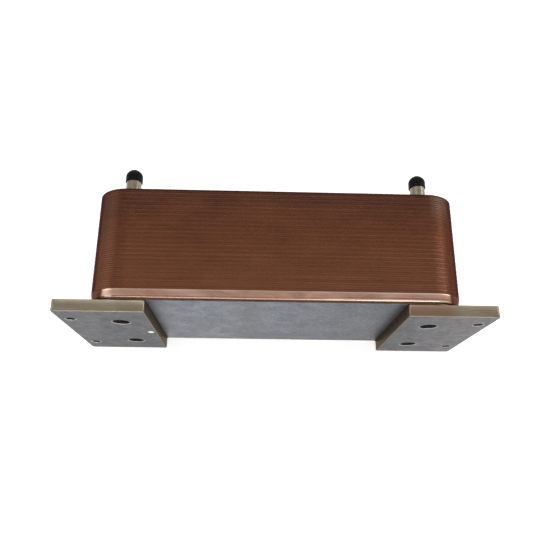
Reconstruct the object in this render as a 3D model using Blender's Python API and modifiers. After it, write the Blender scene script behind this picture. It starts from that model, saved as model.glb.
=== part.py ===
"""Copper-brazed plate heat exchanger with two mounting flanges and two capped connection stubs.

The unit is laid out standing on its flanges: X runs along the pack, Z runs along the stubs, and Z = 0 is
the face of the flanges. The empty named lying_on_side then lays it on a long side of the plate pack, so
that the stubs point along world +Y and the other long side faces up. All sizes are in metres.
"""

import math

import bmesh
import bpy

OBJECT_NAME = "plate_heat_exchanger"

# Gap left between neighbours that are brazed or pushed together
GAP = 0.0003

# Pack of nested channel plates, measured over their rims
PLATE_COUNT = 47
PLATE_PITCH = 0.0031
PACK_LENGTH = 0.500
PACK_WIDTH = 0.230
RIM_RADIUS = 0.045
SHEET = 0.0004
SKIRT_HEIGHT = 0.0112
SKIRT_LEAN = math.radians(14.0)
PLATE_PORT_RADIUS = 0.0140

# Flat cover plates at the two ends of the pack
COVER_LENGTH = 0.489
COVER_WIDTH = 0.219
COVER_RADIUS = 0.0395
FRONT_COVER_THICKNESS = 0.0024
BACK_COVER_THICKNESS = 0.0030

# Mounting flanges, one under each end of the pack
FLANGE_SPAN = 0.581
FLANGE_LENGTH = 0.120
FLANGE_WIDTH = 0.222
FLANGE_THICKNESS = 0.016
FLANGE_CORNER_RADIUS = 0.004
FLANGE_CHAMFER = 0.0008
FLANGE_PORT_RADIUS = 0.012
BOLT_HOLE_RADIUS = 0.00675
HOLE_CHAMFER = 0.0006
BOLT_INSET = 0.0155
BOLT_SPACING = 0.140

# Port centres, shared by the flanges, covers, plates and stubs
PORT_X = 0.2105
PORT_SPACING = 0.113

# Connection stubs, which stand on the stub-side cover over the front ports
STUB_RADIUS = 0.011
STUB_WALL = 0.0015
STUB_RISE = 0.048
STUB_SHOULDER_RADIUS = 0.015
STUB_SHOULDER_THICKNESS = 0.0035
STUB_END_CHAMFER = 0.0004

# Push-on rubber caps
CAP_RADIUS = 0.0125
CAP_LENGTH = 0.0212
CAP_SKIRT = 0.009
CAP_WALL = 0.00115
CAP_GRIP = 0.0095
CAP_DOME_STEPS = 5

# Heights along the stubs, from the face of the flanges
FRONT_COVER_HEIGHT = FLANGE_THICKNESS + GAP
FIRST_PLATE_HEIGHT = FRONT_COVER_HEIGHT + FRONT_COVER_THICKNESS + GAP
LAST_PLATE_HEIGHT = FIRST_PLATE_HEIGHT + (PLATE_COUNT - 1) * PLATE_PITCH
BACK_COVER_HEIGHT = LAST_PLATE_HEIGHT + SHEET + GAP
BACK_COVER_TOP = BACK_COVER_HEIGHT + BACK_COVER_THICKNESS
RIM_HEIGHT = LAST_PLATE_HEIGHT + SKIRT_HEIGHT
STUB_END_HEIGHT = RIM_HEIGHT + STUB_RISE
CAP_MOUTH_HEIGHT = STUB_END_HEIGHT - CAP_GRIP
OVERALL_HEIGHT = CAP_MOUTH_HEIGHT + CAP_LENGTH

# Facets of the round shapes
CORNER_SEGMENTS = 3
PLATE_PORT_STEPS = 8
BOLT_HOLE_STEPS = 12
TURNED_STEPS = 16
SMOOTH_ANGLE = math.radians(40.0)
MERGE_DISTANCE = 0.00001

SIDES = {"left": -1, "right": 1}
ROWS = {"front": -1, "rear": 1}


def clear_scene():
    for existing in list(bpy.data.objects):
        bpy.data.objects.remove(existing, do_unlink=True)


def new_collection(name):
    collection = bpy.data.collections.new(name)
    bpy.context.scene.collection.children.link(collection)
    return collection


def make_material(name, color, roughness, metallic):
    material = bpy.data.materials.new(name)
    material.use_nodes = True
    shader = material.node_tree.nodes["Principled BSDF"]
    shader.inputs["Base Color"].default_value = (*color, 1.0)
    shader.inputs["Roughness"].default_value = roughness
    shader.inputs["Metallic"].default_value = metallic
    return material


def add_object(name, mesh, collection, parent, location=(0.0, 0.0, 0.0)):
    added = bpy.data.objects.new(name, mesh)
    collection.objects.link(added)
    added.parent = parent
    added.location = location
    return added


def give_material(target, material):
    target.data.materials.clear()
    target.data.materials.append(material)


def shade_round(mesh):
    mesh.shade_smooth()
    mesh.set_sharp_from_angle(angle=SMOOTH_ANGLE)


def baked_mesh(source, name):
    """The mesh of an object with its modifiers applied; the object itself is removed."""
    bpy.context.view_layer.update()
    evaluated = source.evaluated_get(bpy.context.evaluated_depsgraph_get())
    mesh = bpy.data.meshes.new_from_object(evaluated)
    mesh.name = name
    bpy.data.objects.remove(source, do_unlink=True)
    return mesh


def turned_mesh(name, profile, steps, closed=False):
    """Turns a profile of (radius, height) points about Z; it runs down the outer side first."""
    bm = bmesh.new()
    verts = [bm.verts.new((radius, 0.0, height)) for radius, height in profile]
    for start, end in zip(verts, verts[1:]):
        bm.edges.new((start, end))
    if closed:
        bm.edges.new((verts[-1], verts[0]))
    outline = bpy.data.meshes.new(name + "_profile")
    bm.to_mesh(outline)
    bm.free()
    spun = bpy.data.objects.new(name + "_profile", outline)
    bpy.context.scene.collection.objects.link(spun)
    screw = spun.modifiers.new("turn", "SCREW")
    screw.axis = "Z"
    screw.steps = steps
    screw.render_steps = steps
    screw.use_merge_vertices = True
    screw.merge_threshold = MERGE_DISTANCE
    mesh = baked_mesh(spun, name)
    shade_round(mesh)
    return mesh


def rounded_block(length, width, height, radius):
    """A block standing on Z = 0 whose four upright edges are rounded."""
    bm = bmesh.new()
    bmesh.ops.create_cube(bm, size=1.0)
    bmesh.ops.translate(bm, verts=bm.verts, vec=(0.0, 0.0, 0.5))
    bmesh.ops.scale(bm, verts=bm.verts, vec=(length, width, height))
    upright = [edge for edge in bm.edges if abs(edge.verts[0].co.z - edge.verts[1].co.z) > height / 2]
    bmesh.ops.bevel(
        bm,
        geom=upright,
        offset=radius,
        offset_type="OFFSET",
        segments=CORNER_SEGMENTS,
        profile=0.5,
        affect="EDGES",
    )
    return bm


def block_mesh(name, length, width, height, radius):
    bm = rounded_block(length, width, height, radius)
    mesh = bpy.data.meshes.new(name)
    bm.to_mesh(mesh)
    bm.free()
    shade_round(mesh)
    return mesh


def add_cutter(name, profile, steps, collection, parent, location):
    cutter = add_object(name, turned_mesh(name, profile, steps), collection, parent, location)
    cutter.hide_render = True
    cutter.display_type = "WIRE"
    return cutter


def through_hole_profile(radius, low, high):
    return [(0.0, high), (radius, high), (radius, low), (0.0, low)]


def chamfered_hole_profile(radius, depth, chamfer):
    """A through hole from 0 to depth whose two mouths open out at 45 degrees."""
    past = 0.001
    mouth = radius + chamfer + past
    return [
        (0.0, depth + past),
        (mouth, depth + past),
        (radius, depth - chamfer),
        (radius, chamfer),
        (mouth, -past),
        (0.0, -past),
    ]


def drill(target, cutters):
    for cutter in cutters:
        cut = target.modifiers.new(cutter.name, "BOOLEAN")
        cut.operation = "DIFFERENCE"
        cut.solver = "EXACT"
        cut.object = cutter


def add_port_cutters(collection, parent):
    """Four long bores, one for each port, through the front cover and every channel plate."""
    low = FLANGE_THICKNESS + GAP / 2
    high = LAST_PLATE_HEIGHT + SHEET + GAP / 2
    profile = through_hole_profile(PLATE_PORT_RADIUS, low, high)
    cutters = []
    for side, side_sign in SIDES.items():
        for row, row_sign in ROWS.items():
            place = (side_sign * PORT_X, row_sign * PORT_SPACING / 2, 0.0)
            name = f"port_cutter_{side}_{row}"
            cutters.append(add_cutter(name, profile, PLATE_PORT_STEPS, collection, parent, place))
    return cutters


def add_stub_hole_cutters(collection, parent):
    """Bores in the back cover that the lower ends of the stubs drop into."""
    profile = through_hole_profile(
        STUB_RADIUS + GAP + 0.0001, BACK_COVER_HEIGHT - GAP / 2, BACK_COVER_TOP + 0.001
    )
    cutters = []
    for side, side_sign in SIDES.items():
        place = (side_sign * PORT_X, ROWS["front"] * PORT_SPACING / 2, 0.0)
        name = f"stub_hole_cutter_{side}"
        cutters.append(add_cutter(name, profile, TURNED_STEPS, collection, parent, place))
    return cutters


def add_flange_cutters(side, collection, parent):
    port_profile = chamfered_hole_profile(FLANGE_PORT_RADIUS, FLANGE_THICKNESS, HOLE_CHAMFER)
    bolt_profile = chamfered_hole_profile(BOLT_HOLE_RADIUS, FLANGE_THICKNESS, HOLE_CHAMFER)
    side_sign = SIDES[side]
    bolt_x = FLANGE_SPAN / 2 - BOLT_INSET
    cutters = []
    for row, row_sign in ROWS.items():
        port_place = (side_sign * PORT_X, row_sign * PORT_SPACING / 2, 0.0)
        port_name = f"flange_port_cutter_{side}_{row}"
        cutters.append(add_cutter(port_name, port_profile, TURNED_STEPS, collection, parent, port_place))
        bolt_place = (side_sign * bolt_x, row_sign * BOLT_SPACING / 2, 0.0)
        bolt_name = f"bolt_hole_cutter_{side}_{row}"
        cutters.append(add_cutter(bolt_name, bolt_profile, BOLT_HOLE_STEPS, collection, parent, bolt_place))
    return cutters


def tray_mesh(name):
    """The skin of one channel plate: a flat floor, and a skirt that leans outwards up to the rim."""
    bm = rounded_block(PACK_LENGTH, PACK_WIDTH, SKIRT_HEIGHT, RIM_RADIUS)
    lid = [face for face in bm.faces if face.normal.z > 0.9]
    bmesh.ops.delete(bm, geom=lid, context="FACES_ONLY")
    lean = SKIRT_HEIGHT * math.tan(SKIRT_LEAN)
    for vert in bm.verts:
        if vert.co.z > SKIRT_HEIGHT / 2:
            continue
        centre_x = math.copysign(PACK_LENGTH / 2 - RIM_RADIUS, vert.co.x)
        centre_y = math.copysign(PACK_WIDTH / 2 - RIM_RADIUS, vert.co.y)
        shrink = 1.0 - lean / RIM_RADIUS
        vert.co.x = centre_x + (vert.co.x - centre_x) * shrink
        vert.co.y = centre_y + (vert.co.y - centre_y) * shrink
    mesh = bpy.data.meshes.new(name)
    bm.to_mesh(mesh)
    bm.free()
    return mesh


def channel_plate_mesh(port_cutters, collection, parent):
    """One pressed plate with its sheet thickness and its four ports, shared by the whole pack."""
    place = (0.0, 0.0, FIRST_PLATE_HEIGHT)
    pattern = add_object("plate_pattern", tray_mesh("plate_skin"), collection, parent, place)
    sheet = pattern.modifiers.new("sheet", "SOLIDIFY")
    sheet.thickness = SHEET
    sheet.offset = -1.0
    sheet.use_even_offset = True
    drill(pattern, port_cutters)
    mesh = baked_mesh(pattern, "channel_plate")
    shade_round(mesh)
    return mesh


def add_channel_plates(port_cutters, collection, parent, material):
    mesh = channel_plate_mesh(port_cutters, collection, parent)
    mesh.materials.clear()
    mesh.materials.append(material)
    for number in range(PLATE_COUNT):
        place = (0.0, 0.0, FIRST_PLATE_HEIGHT + number * PLATE_PITCH)
        add_object(f"channel_plate_{number + 1:02d}", mesh, collection, parent, place)


def add_cover(name, thickness, height, cutters, collection, parent, material):
    mesh = block_mesh(name, COVER_LENGTH, COVER_WIDTH, thickness, COVER_RADIUS)
    cover = add_object(name, mesh, collection, parent, (0.0, 0.0, height))
    give_material(cover, material)
    drill(cover, cutters)


def add_flange(side, cutter_collection, collection, parent, material):
    """A thick plate with two ports under the pack and two bolt holes beyond its end."""
    name = f"mounting_flange_{side}"
    mesh = block_mesh(name, FLANGE_LENGTH, FLANGE_WIDTH, FLANGE_THICKNESS, FLANGE_CORNER_RADIUS)
    centre_x = SIDES[side] * (FLANGE_SPAN - FLANGE_LENGTH) / 2
    flange = add_object(name, mesh, collection, parent, (centre_x, 0.0, 0.0))
    give_material(flange, material)
    edges = flange.modifiers.new("edges", "BEVEL")
    edges.width = FLANGE_CHAMFER
    edges.segments = 1
    edges.limit_method = "ANGLE"
    edges.angle_limit = math.radians(60.0)
    drill(flange, add_flange_cutters(side, cutter_collection, parent))


def stub_profile():
    """Tube section from the end of the stub down to its spigot in the back cover, with a shoulder."""
    bore = STUB_RADIUS - STUB_WALL
    foot = BACK_COVER_HEIGHT
    shoulder = BACK_COVER_TOP + GAP
    top = STUB_END_HEIGHT
    return [
        (STUB_RADIUS - STUB_END_CHAMFER, top),
        (STUB_RADIUS, top - STUB_END_CHAMFER),
        (STUB_RADIUS, shoulder + STUB_SHOULDER_THICKNESS),
        (STUB_SHOULDER_RADIUS, shoulder + STUB_SHOULDER_THICKNESS),
        (STUB_SHOULDER_RADIUS, shoulder),
        (STUB_RADIUS, shoulder),
        (STUB_RADIUS, foot),
        (bore, foot),
        (bore, top),
    ]


def cap_profile():
    """Section of a domed cap, from the top of the dome down to its mouth and back up inside."""
    bore = CAP_RADIUS - CAP_WALL
    dome = CAP_LENGTH - CAP_SKIRT
    inner_dome = dome - CAP_WALL
    outside = []
    inside = []
    for step in range(CAP_DOME_STEPS + 1):
        angle = math.pi / 2 * step / CAP_DOME_STEPS
        across = math.sin(angle) if step else 0.0
        along = math.cos(angle) if step < CAP_DOME_STEPS else 0.0
        outside.append((CAP_RADIUS * across, CAP_SKIRT + dome * along))
        inside.append((bore * across, CAP_SKIRT + inner_dome * along))
    mouth = [(CAP_RADIUS, 0.0), (bore, 0.0)]
    return outside + mouth + inside[::-1]


def add_stub_and_cap(side, collection, parent, stub_material, cap_material):
    place = (SIDES[side] * PORT_X, ROWS["front"] * PORT_SPACING / 2)
    stub_name = f"connection_stub_{side}"
    stub_mesh = turned_mesh(stub_name, stub_profile(), TURNED_STEPS, closed=True)
    stub = add_object(stub_name, stub_mesh, collection, parent, (*place, 0.0))
    give_material(stub, stub_material)
    cap_name = f"stub_cap_{side}"
    cap_mesh = turned_mesh(cap_name, cap_profile(), TURNED_STEPS)
    cap = add_object(cap_name, cap_mesh, collection, parent, (*place, CAP_MOUTH_HEIGHT))
    give_material(cap, cap_material)


def main():
    clear_scene()
    parts = new_collection(OBJECT_NAME)
    cutters = new_collection("cutters")
    assembly = bpy.data.objects.new("lying_on_side", None)
    parts.objects.link(assembly)
    assembly.rotation_euler = (-math.pi / 2, 0.0, 0.0)
    assembly.location = (0.0, -OVERALL_HEIGHT / 2, PACK_WIDTH / 2)

    copper = make_material("brazed_copper_sheet", (0.29, 0.12, 0.07), 0.42, 1.0)
    cover_steel = make_material("cover_steel", (0.27, 0.28, 0.31), 0.40, 1.0)
    flange_steel = make_material("milled_flange_steel", (0.31, 0.29, 0.26), 0.38, 1.0)
    tube_steel = make_material("stainless_tube", (0.40, 0.37, 0.31), 0.30, 1.0)
    black_rubber = make_material("black_rubber", (0.012, 0.012, 0.015), 0.60, 0.0)

    port_cutters = add_port_cutters(cutters, assembly)
    stub_cutters = add_stub_hole_cutters(cutters, assembly)
    add_channel_plates(port_cutters, parts, assembly, copper)
    add_cover(
        "flange_side_cover",
        FRONT_COVER_THICKNESS,
        FRONT_COVER_HEIGHT,
        port_cutters,
        parts,
        assembly,
        cover_steel,
    )
    add_cover(
        "stub_side_cover",
        BACK_COVER_THICKNESS,
        BACK_COVER_HEIGHT,
        stub_cutters,
        parts,
        assembly,
        cover_steel,
    )
    for side in SIDES:
        add_flange(side, cutters, parts, assembly, flange_steel)
        add_stub_and_cap(side, parts, assembly, tube_steel, black_rubber)


main()
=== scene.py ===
"""Looks of the copper-brazed plate heat exchanger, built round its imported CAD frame.

The part lies on a long side of its plate pack: X runs along the pack, the stubs point along +Y and the
flange faces point along -Y. Meshes are built standing on the flange faces, where Z is the height along the
stubs and Y runs across the pack, and LAID then lays them down. All sizes are in metres.
"""

import math

import bmesh
import bpy
from mathutils import Matrix, Vector, noise


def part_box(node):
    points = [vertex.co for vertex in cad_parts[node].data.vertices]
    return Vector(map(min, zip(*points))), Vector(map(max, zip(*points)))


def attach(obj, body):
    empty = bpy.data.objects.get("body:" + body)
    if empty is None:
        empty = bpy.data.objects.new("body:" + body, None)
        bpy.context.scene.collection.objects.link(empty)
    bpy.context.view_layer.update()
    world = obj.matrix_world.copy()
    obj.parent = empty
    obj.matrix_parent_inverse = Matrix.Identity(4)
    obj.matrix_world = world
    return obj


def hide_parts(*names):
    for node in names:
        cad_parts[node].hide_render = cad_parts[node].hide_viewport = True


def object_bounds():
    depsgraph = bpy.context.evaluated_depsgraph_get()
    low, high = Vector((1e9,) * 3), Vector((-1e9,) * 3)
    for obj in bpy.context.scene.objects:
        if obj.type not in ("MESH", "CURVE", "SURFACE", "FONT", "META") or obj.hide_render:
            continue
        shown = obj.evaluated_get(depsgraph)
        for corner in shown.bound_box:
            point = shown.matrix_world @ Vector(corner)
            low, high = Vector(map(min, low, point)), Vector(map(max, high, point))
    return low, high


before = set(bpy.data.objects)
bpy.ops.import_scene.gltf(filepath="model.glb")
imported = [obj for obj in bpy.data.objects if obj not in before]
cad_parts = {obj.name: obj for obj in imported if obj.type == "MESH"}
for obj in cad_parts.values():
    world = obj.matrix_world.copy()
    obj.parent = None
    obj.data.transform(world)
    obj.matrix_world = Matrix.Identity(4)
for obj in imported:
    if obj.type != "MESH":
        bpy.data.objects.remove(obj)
CAD_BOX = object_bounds()

BODY = "brazed_unit"
PLATES = sorted(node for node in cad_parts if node.startswith("channel_plate_"))
SIDES = {"left": -1, "right": 1}
ROWS = {"front": -1, "rear": 1}

# The lying frame: flange faces at FACE_Y, the pack's centre line at MIDDLE_Z
FACE_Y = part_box("mounting_flange_left")[0].y
RIM_LOW, RIM_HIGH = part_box(PLATES[0])
MIDDLE_Z = (RIM_LOW.z + RIM_HIGH.z) / 2
LAID = Matrix(((1, 0, 0, 0), (0, 0, 1, FACE_Y), (0, -1, 0, MIDDLE_Z), (0, 0, 0, 1)))


def height_of(node):
    """Lowest and highest point of a CAD node above the flange faces."""
    low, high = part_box(node)
    return low.y - FACE_Y, high.y - FACE_Y


# Pack of pressed plates: FIRST_FLOOR is the first plate's height, DEPTH the height of a plate with its skirt
PACK_LENGTH = RIM_HIGH.x - RIM_LOW.x
PACK_WIDTH = RIM_HIGH.z - RIM_LOW.z
RIM_RADIUS = 0.045
SHEET = 0.0004
FIRST_FLOOR = height_of(PLATES[0])[0]
PITCH = height_of(PLATES[1])[0] - FIRST_FLOOR
DEPTH = height_of(PLATES[0])[1] - FIRST_FLOOR
LEAN = math.radians(14.0)
BEND = 0.0030
BEND_MARGIN = 0.0010
SKIRT_MIDDLE = 0.0070
PORT_RADIUS = 0.0140
COLLAR_RADIUS = 0.0200
STUB_LOW, STUB_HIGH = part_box("connection_stub_right")
PORT_X = (STUB_LOW.x + STUB_HIGH.x) / 2
PORT_Y = (STUB_LOW.z + STUB_HIGH.z) / 2 - MIDDLE_Z

# How far the rims stray: a wave everywhere, more of it towards the right end, and every other plate set back
RIM_WAVE = 0.00005
LOOSE_WAVE = 0.00030
LOOSE_FROM = 0.10
LOOSE_OVER = 0.12
RIM_WANDER = 0.00004
SET_BACK = 0.00014

# Flanges
BOLT_FROM_END = 0.0155
BOLT_X = CAD_BOX[1].x - BOLT_FROM_END
BOLT_Y = 0.070
BOLT_RADIUS = 0.00675
BORE_RADIUS = 0.0120
FLANGE_CORNER = 0.0040
FLANGE_CHAMFER = 0.0007
HOLE_CHAMFER = 0.0006
FLANGE_INNER_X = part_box("mounting_flange_right")[0].x

# Dot of marker paint on the left flange's face, by its X and Z
PAINT_DOT = (-0.1791, 0.1144)
PAINT_RADIUS = 0.0045

# Covers
COVER_CHAMFER = 0.00025
SEAT_RADIUS = 0.0113
SEAT_CHAMFER = 0.0002

# Stubs and caps
TUBE_RADIUS = 0.0110
TUBE_BORE = 0.0095
TUBE_LIP = 0.0004
SHOULDER_GAP = 0.0003
SHOULDER_HEIGHT = 0.0035
CAP_WALL = 0.00115
CAP_SKIRT = 0.0090
CAP_BEAD = 0.00012
CAP_ROUNDING = 0.0005
CAP_MOUTH_BEVEL = 0.0003
CAP_POINTEDNESS = 1.4

# Facets
CORNER_STEPS = 12
LONG_STEPS = 24
SHORT_STEPS = 8
PORT_STEPS = 40
BORE_STEPS = 64
BOLT_STEPS = 48
FLANGE_STEPS = 12
FLANGE_CORNER_STEPS = 6
FLANGE_SEAM_STEPS = 40
TURNED_STEPS = 72
SHARP_ANGLE = math.radians(38.0)
SAME_POINT = 1e-7
SAME_RADIUS = 1e-6

# Colour that the copper turns to at a grazing angle, in place of white
EDGE_TINT = (0.40, 0.25, 0.20, 1.0)

# Stage
FLOOR_REACH = 6.0
FLOOR_GLOW = 0.55
ZENITH = 0.42
HORIZON = 0.55
AIM = (0.0, 0.0, 0.1)
SOFTBOXES = (
    ("right_softbox", (1.5, 0.5, 0.9), (1.0, 0.7), 7.0),
    ("left_softbox", (-1.5, 0.1, 1.0), (1.0, 0.7), 3.5),
    ("front_softbox", (0.1, -1.5, 0.9), (1.8, 0.5), 14.0),
    ("back_softbox", (-0.1, 1.3, 1.3), (1.8, 0.5), 12.0),
)
CAMERA_PLACE = (-0.030566, -0.313171, 0.962715)
CAMERA_TURN = (19.199, -1.753, 0.461)
FOCAL_LENGTH = 39.526


# Outlines ------------------------------------------------------------------------------------------------


def rounded_outline(length, width, radius, long_steps, short_steps, corner_steps=CORNER_STEPS):
    """Counter-clockwise (core, outward) pairs of a rounded rectangle, from the middle of its front side.

    A point at some inset lies at core + (radius - inset) * outward.
    """
    across = length / 2 - radius
    along = width / 2 - radius
    corners = [
        ((across, -along), -90.0),
        ((across, along), 0.0),
        ((-across, along), 90.0),
        ((-across, -along), 180.0),
    ]
    samples = []
    previous = Vector((0.0, -along))
    for number, (core, start) in enumerate(corners):
        core = Vector(core)
        steps = short_steps if number in (1, 3) else long_steps // (2 if number == 0 else 1)
        facing = Vector((math.cos(math.radians(start)), math.sin(math.radians(start))))
        for step in range(0 if number == 0 else 1, max(steps, 1)):
            samples.append((previous.lerp(core, step / steps), facing))
        for step in range(corner_steps + 1):
            angle = math.radians(start + 90.0 * step / corner_steps)
            samples.append((core, Vector((math.cos(angle), math.sin(angle)))))
        previous = core
    steps = max(long_steps // 2, 1)
    for step in range(1, steps):
        samples.append((previous.lerp(Vector((0.0, -along)), step / steps), Vector((0.0, -1.0))))
    return samples


def circle(centre, radius, steps):
    angles = [2 * math.pi * k / steps for k in range(steps)]
    return [(centre[0] + radius * math.cos(a), centre[1] + radius * math.sin(a)) for a in angles]


def add_ring(bm, points, height):
    return [bm.verts.new((x, y, height)) for x, y in points]


def join_rings(bm, low, high, slot=0):
    """Faces between two rings that run the same way; they look outwards when both run counter-clockwise."""
    count = len(low)
    for k in range(count):
        face = bm.faces.new((low[k], low[(k + 1) % count], high[(k + 1) % count], high[k]))
        face.material_index = slot


def fill_flat(bm, loops, up, slot=0):
    """Fills a flat face with holes between its loops of vertices; up is +1 or -1."""
    edges = []
    for loop in loops:
        for k, vert in enumerate(loop):
            other = loop[(k + 1) % len(loop)]
            edges.append(bm.edges.get((vert, other)) or bm.edges.new((vert, other)))
    made = bmesh.ops.triangle_fill(bm, use_beauty=True, edges=edges, normal=(0, 0, up))
    for face in made["geom"]:
        if isinstance(face, bmesh.types.BMFace):
            face.normal_update()
            if face.normal.z * up < 0:
                face.normal_flip()
            face.material_index = slot


def slab(bm, outline, radius, rings, holes, slots=(0, 0, 0, 0), bend=None):
    """A closed plate: rings of (inset, height) from under its edge up and over, and holes that go through.

    holes are (centre, steps, [(radius, height), ...]) from the lower mouth to the upper one. slots are the
    numbers of the materials of the lower face, the edge, the upper face and the hole walls. bend moves each
    edge point, given the point and its outward direction.
    """
    made = []
    for inset, height in rings:
        points = [core + (radius - inset) * outward for core, outward in outline]
        ring = [
            bm.verts.new(bend(Vector((p.x, p.y, height)), outward) if bend else (p.x, p.y, height))
            for p, (_, outward) in zip(points, outline)
        ]
        made.append(ring)
    for low, high in zip(made, made[1:]):
        join_rings(bm, low, high, slots[1])
    mouths = []
    for centre, steps, profile in holes:
        walls = [add_ring(bm, circle(centre, r, steps), height) for r, height in profile]
        for low, high in zip(walls, walls[1:]):
            join_rings(bm, low[::-1], high[::-1], slots[3])
        mouths.append((walls[0], walls[-1]))
    fill_flat(bm, [made[0]] + [low for low, _ in mouths], -1, slots[0])
    fill_flat(bm, [made[-1]] + [high for _, high in mouths], 1, slots[2])


def edge_rings(thickness, base, chamfer):
    """Rings of a flat plate whose two edges are chamfered and softened."""
    soft = chamfer * 0.15
    rings = [(chamfer * 2.2, 0.0), (chamfer + soft, 0.0), (chamfer - soft, soft)]
    rings += [(soft, chamfer - soft), (0.0, chamfer + soft)]
    return [(i, base + z) for i, z in rings] + [(i, base + thickness - z) for i, z in reversed(rings)]


def bored(radius, thickness, base, chamfer):
    """Wall of a bore with chamfered mouths, from the lower mouth to the upper one."""
    soft = chamfer * 0.2
    mouth = [(radius + chamfer * 2, 0.0), (radius + chamfer, 0.0)]
    mouth += [(radius + soft, chamfer - soft), (radius, chamfer + soft)]
    return [(r, base + z) for r, z in mouth] + [(r, base + thickness - z) for r, z in reversed(mouth)]


def finish_piece(bm, name, materials, body, replaced):
    """Lays the mesh down, makes it a piece that rides on a body, and hides the CAD node it stands for."""
    bm.transform(LAID)
    mesh = bpy.data.meshes.new(name)
    bm.to_mesh(mesh)
    bm.free()
    mesh.shade_smooth()
    mesh.set_sharp_from_angle(angle=SHARP_ANGLE)
    for material in materials:
        mesh.materials.append(material)
    piece = bpy.data.objects.new(name, mesh)
    bpy.context.scene.collection.objects.link(piece)
    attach(piece, body)
    if replaced:
        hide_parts(*replaced)


# Pressed plates ------------------------------------------------------------------------------------------

BEND_CENTRE = BEND / math.cos(LEAN) + (DEPTH - BEND) * math.tan(LEAN)
PACK_OUTLINE = rounded_outline(PACK_LENGTH, PACK_WIDTH, RIM_RADIUS, LONG_STEPS, SHORT_STEPS)


def tray_rings():
    """Section of a plate as (inset, height): floor, bend, leaning skirt, rounded rim and back inside."""
    rings = [(BEND_CENTRE + BEND_MARGIN, 0.0)]
    sweep = math.pi / 2 - LEAN
    for step in range(6):
        angle = sweep * step / 5
        rings.append((BEND_CENTRE - BEND * math.sin(angle), BEND * (1 - math.cos(angle))))
    half = SHEET / 2
    for height in (SKIRT_MIDDLE, DEPTH - 2 * SHEET):
        rings.append(((DEPTH - height) * math.tan(LEAN), height))
    end_inset = half * (math.cos(LEAN) + math.sin(LEAN))
    end_height = DEPTH - half * (math.cos(LEAN) - math.sin(LEAN))
    for step in range(5):
        turn = math.pi * step / 4
        out = math.cos(turn) * math.cos(LEAN) + math.sin(turn) * math.sin(LEAN)
        rise = math.sin(turn) * math.cos(LEAN) - math.cos(turn) * math.sin(LEAN)
        rings.append((end_inset - half * out, end_height + half * rise))
    rings.append(((DEPTH - SKIRT_MIDDLE) * math.tan(LEAN) + SHEET / math.cos(LEAN), SKIRT_MIDDLE))
    inner = BEND - SHEET
    for step in range(3, -1, -1):
        angle = sweep * step / 3
        rings.append((BEND_CENTRE - inner * math.sin(angle), BEND - inner * math.cos(angle)))
    rings.append((BEND_CENTRE + BEND_MARGIN, SHEET))
    return rings


def pressing_error(point, number):
    """How far a plate's rim strays, as (inset, rise): a slow wave that neighbours share, and its own part."""
    shared = noise.noise(Vector((point.x * 21.0, point.y * 21.0, number * 0.13)))
    own = noise.noise(Vector((point.x * 34.0, point.y * 34.0, number * 5.7)))
    loose = min(max((point.x - LOOSE_FROM) / LOOSE_OVER, 0.0), 1.0)
    rise = RIM_WAVE * own + (RIM_WAVE + LOOSE_WAVE * loose) * shared
    inset = RIM_WANDER * (1.0 + own) + (SET_BACK if number % 2 else 0.0)
    return inset, rise


def strayed(point, outward, number, floor):
    """A point of a plate moved by its pressing error, which grows from the floor to the rim."""
    share = min(max((point.z - floor - BEND) / (DEPTH - BEND), 0.0), 1.0)
    inset, rise = pressing_error(point, number)
    moved = point - Vector((outward.x, outward.y, 0.0)) * inset * share
    moved.z += rise * share
    return moved


def port_profile(collared):
    """Section of a port from below: either cut flat, or raised into a collar that meets the next plate."""
    if not collared:
        return [(PORT_RADIUS, 0.0), (PORT_RADIUS, SHEET)]
    top = PITCH - SHEET - 0.00005
    rise = [(COLLAR_RADIUS, 0.0), (0.0192, 0.0003), (0.0182, top * 0.5)]
    rise += [(0.0172, top - 0.0003), (0.0163, top)]
    above = [(radius + 0.00012, height + SHEET) for radius, height in reversed(rise)]
    return rise + [(PORT_RADIUS, top), (PORT_RADIUS, top + SHEET)] + above


def pressed_plate(number, materials):
    """One plate of the pack, with collars on two opposite ports. The next plate has them on the other two."""
    floor = FIRST_FLOOR + (number - 1) * PITCH
    bm = bmesh.new()
    holes = []
    for side in SIDES.values():
        for row in ROWS.values():
            last = number == len(PLATES)
            collared = not last and (number + (side * row > 0)) % 2 == 0
            profile = [(radius, floor + height) for radius, height in port_profile(collared)]
            holes.append(((side * PORT_X, row * PORT_Y), PORT_STEPS, profile))
    rings = [(inset, floor + height) for inset, height in tray_rings()]
    slab(bm, PACK_OUTLINE, RIM_RADIUS, rings, holes, bend=lambda p, out: strayed(p, out, number, floor))
    node = PLATES[number - 1]
    finish_piece(bm, f"pressed_plate_{number:02d}", materials, BODY, [node])


def add_seam(bm, samples, section, closed=True):
    """A run of braze along an outline. section gives the points of its cross-section at a sample."""
    rings = [[bm.verts.new(p) for p in section(core, outward)] for core, outward in samples]
    count = len(rings)
    for k in range(count if closed else count - 1):
        here, there = rings[k], rings[(k + 1) % count]
        for n in range(len(here)):
            m = (n + 1) % len(here)
            bm.faces.new((here[n], there[n], there[m], here[m]))
    if not closed:
        bm.faces.new(rings[0])
        bm.faces.new(rings[-1][::-1])


def at_inset(core, outward, inset, height, radius=RIM_RADIUS):
    flat = core + (radius - inset) * outward
    return Vector((flat.x, flat.y, height))


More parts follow.
